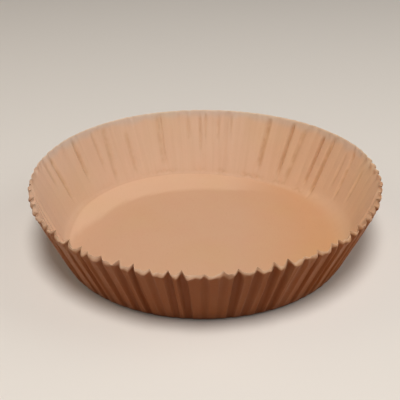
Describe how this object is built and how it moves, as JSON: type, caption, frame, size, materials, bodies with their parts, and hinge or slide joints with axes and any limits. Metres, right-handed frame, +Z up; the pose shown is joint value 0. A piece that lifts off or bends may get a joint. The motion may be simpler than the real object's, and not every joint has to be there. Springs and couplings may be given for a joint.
{
  "type": "air fryer paper liner",
  "caption": "Round fluted baking paper liner, a shallow cup 200 mm across the rim and 40 mm high.",
  "frame": {"origin": "middle of the base, on the surface that the cup stands on", "axes": "+Z up out of the open mouth; -Y is the side turned towards the camera in the picture"},
  "size_m": [0.1998, 0.1998, 0.041],
  "materials": {
    "kraft_baking_paper": "matt, very slightly waxy, unbleached brown"
  },
  "bodies": {
    "root": {"paper_liner": "kraft_baking_paper"}
  },
  "joints": []
}
